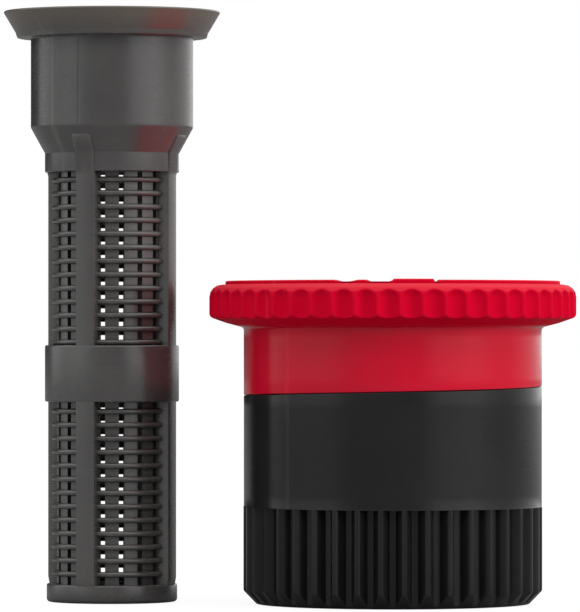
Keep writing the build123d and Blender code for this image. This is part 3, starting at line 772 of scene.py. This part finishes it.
def filter_hoop(height, side_degrees, half):
    """One half-turn round hoop of the screen, centred on one side."""
    steps = [TURN * i / 12 for i in range(12)]
    rows = [(HOOP_CENTRE + HOOP_WIRE * math.cos(t), height + half * math.sin(t), "") for t in steps]
    middle = math.radians(side_degrees)
    return lathe(rows, 97, axis=FILTER_AXIS, sweep=(middle - TURN / 4, middle + TURN / 4))


def filter_bar(low, high, centre_degrees):
    """One upright bar behind the hoops."""
    half = (TURN / BARS - BAR_GAP / BAR_MIDDLE_R) / 2
    middle = math.radians(centre_degrees)
    corners = [
        (TUBE_BORE, low, 0, "", 0),
        (TUBE_R, low, 0, "", 0),
        (TUBE_R, high, 0, "", 0),
        (TUBE_BORE, high, 0, "", 0),
    ]
    return lathe(outline(corners), 9, axis=FILTER_AXIS, sweep=(middle - half, middle + half))


def filter_rib(centre_degrees):
    """One upright rib with rounded outer edges, and its strap over the collar and cone.

    The path holds the outer face as (radius, height), and back the radius behind it.
    """
    face = BAND_OUT - RIB_INSET
    path = [
        (4.44, 1.0), (face, 1.7), (face, 13.0), (face, 18.3), (face, 29.2), (4.68, 29.5), (4.72, 30.7),
        (4.82, 30.95), (5.28, 31.72), (5.25, 31.98),
    ]
    back = [3.6] * 6 + [3.9, 4.1, 4.55, 4.7]
    half = RIB_WIDTH / 2
    section = [(-half, 0.0), (-half, 0.9), (-half + 0.03, 0.97), (-half + 0.1, 1.0)]
    section += [(a, 1.0) for a in np.linspace(-half + 0.2, half - 0.2, 5)]
    section += [(half - 0.1, 1.0), (half - 0.03, 0.97), (half, 0.9), (half, 0.0)]
    angle = math.radians(centre_degrees)
    out = np.array([math.cos(angle), math.sin(angle)])
    side = np.array([-out[1], out[0]])
    points = []
    for (r, z), root in zip(path, back):
        for s, depth in section:
            front = math.sqrt(max(r * r - s * s, 0))
            reach = root + (front - root) * depth
            spot = out * reach + side * s + np.array(FILTER_AXIS)
            points.append((spot[0], spot[1], z))
    m, n = len(section), len(path)
    quads = [[i * m + j, i * m + (j + 1) % m, (i + 1) * m + (j + 1) % m, (i + 1) * m + j]
             for i in range(n - 1) for j in range(m)]
    faces = [np.array(quads), ("cap", np.arange(m)[::-1]), ("cap", np.arange(m) + (n - 1) * m)]
    return np.array(points), faces


def build_filter():
    """The whole filter screen: head, bands, foot, hoops, bars and ribs."""
    meshes = [filter_head(), filter_band(), filter_foot()]
    for first, count, side, half in (
        (UPPER_HOOP, HOOPS, RIB_ANGLE, HOOP_WIRE),
        (LOWER_HOOP, HOOPS, RIB_ANGLE, HOOP_WIRE),
        (UPPER_REAR_HOOP, REAR_HOOPS, RIB_ANGLE + 180, REAR_HOOP_HALF),
        (LOWER_REAR_HOOP, REAR_HOOPS, RIB_ANGLE + 180, REAR_HOOP_HALF),
    ):
        meshes += [filter_hoop(first - i * HOOP_PITCH, side, half) for i in range(count)]
    for low, high in (UPPER_BARS, LOWER_BARS):
        meshes += [filter_bar(low, high, BAR_ANGLE + i * 360 / BARS) for i in range(BARS)]
    meshes += [filter_rib(RIB_ANGLE + i * 360 / RIB_COUNT) for i in range(RIB_COUNT)]
    make_piece("filter_screen_shell", meshes, GREY_PLASTIC, "filter", "filter_screen")


# ---------------------------------------------------------------- small pieces keep their CAD shape

def dress(node, material):
    """Gives a CAD node its material."""
    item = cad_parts[node]
    item.data.materials.clear()
    item.data.materials.append(material)


build_collar()
build_body()
build_cap()
build_filter()
dress("collar_seal", RUBBER)
dress("screw_seal", RUBBER)
dress("radius_screw", STEEL)
dress("screw_clip", STEEL)
dress("throttle_plug", BLACK_PLASTIC)


# ---------------------------------------------------------------- studio

FLOOR_REACH, FLOOR_GAP = 3.0, 0.00002
OVERHEAD_LEVEL, OVERHEAD_START, OVERHEAD_FULL = 1.15, 0.55, 0.75

# Level of the light round the horizon, by degrees to the right of the camera.
LIGHT_ROUND = [
    (-180, 0.02), (-126, 0.02), (-122, 0.95), (-104, 0.92), (-90, 0.62), (-68, 0.76), (-50, 0.78),
    (-33, 0.34), (-16, 0.27), (20, 0.23), (36, 0.98), (64, 1.20), (80, 0.76), (98, 0.46), (117, 0.68),
    (134, 0.95), (150, 1.25), (180, 0.9),
]

# Camera place and aim in millimetres, and its lens.
CAMERA_AT, CAMERA_AIM, CAMERA_LENS, SENSOR_WIDTH = (-7.0, -400, 18.3), (-7.0, 0, 20.25), 345.3, 36.0


def for_camera(tree, seen, unseen):
    """One shader for what the camera sees directly and another for all other light."""
    path = add(tree, "LightPath").outputs["Is Camera Ray"]
    return add(tree, "MixShader", Fac=path, i1=unseen.outputs[0], i2=seen.outputs[0])


def make_floor():
    """A plain white floor that shows only the faintest contact shadow."""
    material, tree = new_material("floor")
    matte = add(tree, "BsdfDiffuse", Color=grey(0.9))
    glow = add(tree, "Emission", Color=grey(1), Strength=1.06)
    seen = add(tree, "MixShader", Fac=0.86, i1=matte.outputs[0], i2=glow.outputs[0])
    bounce = add(tree, "BsdfDiffuse", Color=grey(0.30))
    both = for_camera(tree, seen, bounce)
    add(tree, "OutputMaterial", Surface=both.outputs[0])
    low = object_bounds()[0].z - FLOOR_GAP
    mesh = bpy.data.meshes.new("floor")
    corners = [(x * FLOOR_REACH, y * FLOOR_REACH, low) for x, y in ((-1, -1), (1, -1), (1, 1), (-1, 1))]
    mesh.from_pydata(corners, [], [(0, 1, 2, 3)])
    mesh.materials.append(material)
    floor = bpy.data.objects.new("floor", mesh)
    bpy.context.scene.collection.objects.link(floor)


def make_world():
    """White to the camera; soft boxes left and right with dark gaps to everything else."""
    world = bpy.data.worlds.new("studio")
    bpy.context.scene.world = world
    world.use_nodes = True
    world.cycles.sampling_method = "NONE"
    tree = world.node_tree
    tree.nodes.clear()
    split = add(tree, "SeparateXYZ", Vector=add(tree, "TexCoord").outputs["Generated"])
    back = add(tree, "Math", {"operation": "MULTIPLY"}, i0=split.outputs[1], i1=-1.0)
    angle = add(tree, "Math", {"operation": "ARCTAN2"}, i0=split.outputs[0], i1=back.outputs[0])
    place = ramp(tree, angle.outputs[0], -math.pi, math.pi)
    boxes = add(tree, "ValToRGB", Fac=place)
    elements = boxes.color_ramp.elements
    while len(elements) > 1:
        elements.remove(elements[-1])
    for i, (degrees, level) in enumerate(LIGHT_ROUND):
        spot = elements[0] if i == 0 else elements.new((degrees + 180) / 360)
        spot.position = (degrees + 180) / 360
        spot.color = grey(level)
    overhead = ramp(tree, split.outputs[2], OVERHEAD_START, OVERHEAD_FULL)
    light = mix_colour(tree, overhead, boxes.outputs[0], grey(OVERHEAD_LEVEL))
    unseen = add(tree, "Background", Color=light, Strength=1.0)
    seen = add(tree, "Background", Color=grey(1), Strength=1.0)
    both = for_camera(tree, seen, unseen)
    add(tree, "OutputWorld", Surface=both.outputs[0])


def aim(item, place, target):
    """Puts a light or camera at a place and turns it to a target."""
    item.location = place
    item.rotation_mode = "QUATERNION"
    item.rotation_quaternion = (Vector(target) - Vector(place)).to_track_quat("-Z", "Y")
    bpy.context.scene.collection.objects.link(item)


def make_light(name, place, size, watts):
    """A soft disc aimed at the nozzle, that lights matt surfaces without showing as a glint."""
    data = bpy.data.lights.new(name, "AREA")
    data.shape = "DISK"
    data.size = size
    data.energy = watts
    light = bpy.data.objects.new(name, data)
    light.visible_glossy = False
    aim(light, place, (0, 0, 0.018))


def make_camera():
    """Nearly level view from the front, a little below the cap."""
    data = bpy.data.cameras.new("camera")
    data.sensor_width = SENSOR_WIDTH
    data.lens = CAMERA_LENS
    data.clip_start, data.clip_end = 0.01, 20.0
    camera = bpy.data.objects.new("camera", data)
    aim(camera, Vector(CAMERA_AT) * MM, Vector(CAMERA_AIM) * MM)
    bpy.context.scene.camera = camera


make_floor()
make_world()
make_light("key", (0.34, -0.16, 0.10), 0.12, 0.46)
make_light("fill", (-0.30, -0.14, 0.08), 0.12, 0.08)
make_light("top", (0.05, -0.30, 0.34), 0.16, 0.22)
make_camera()
bpy.context.scene.view_settings.view_transform = "Standard"
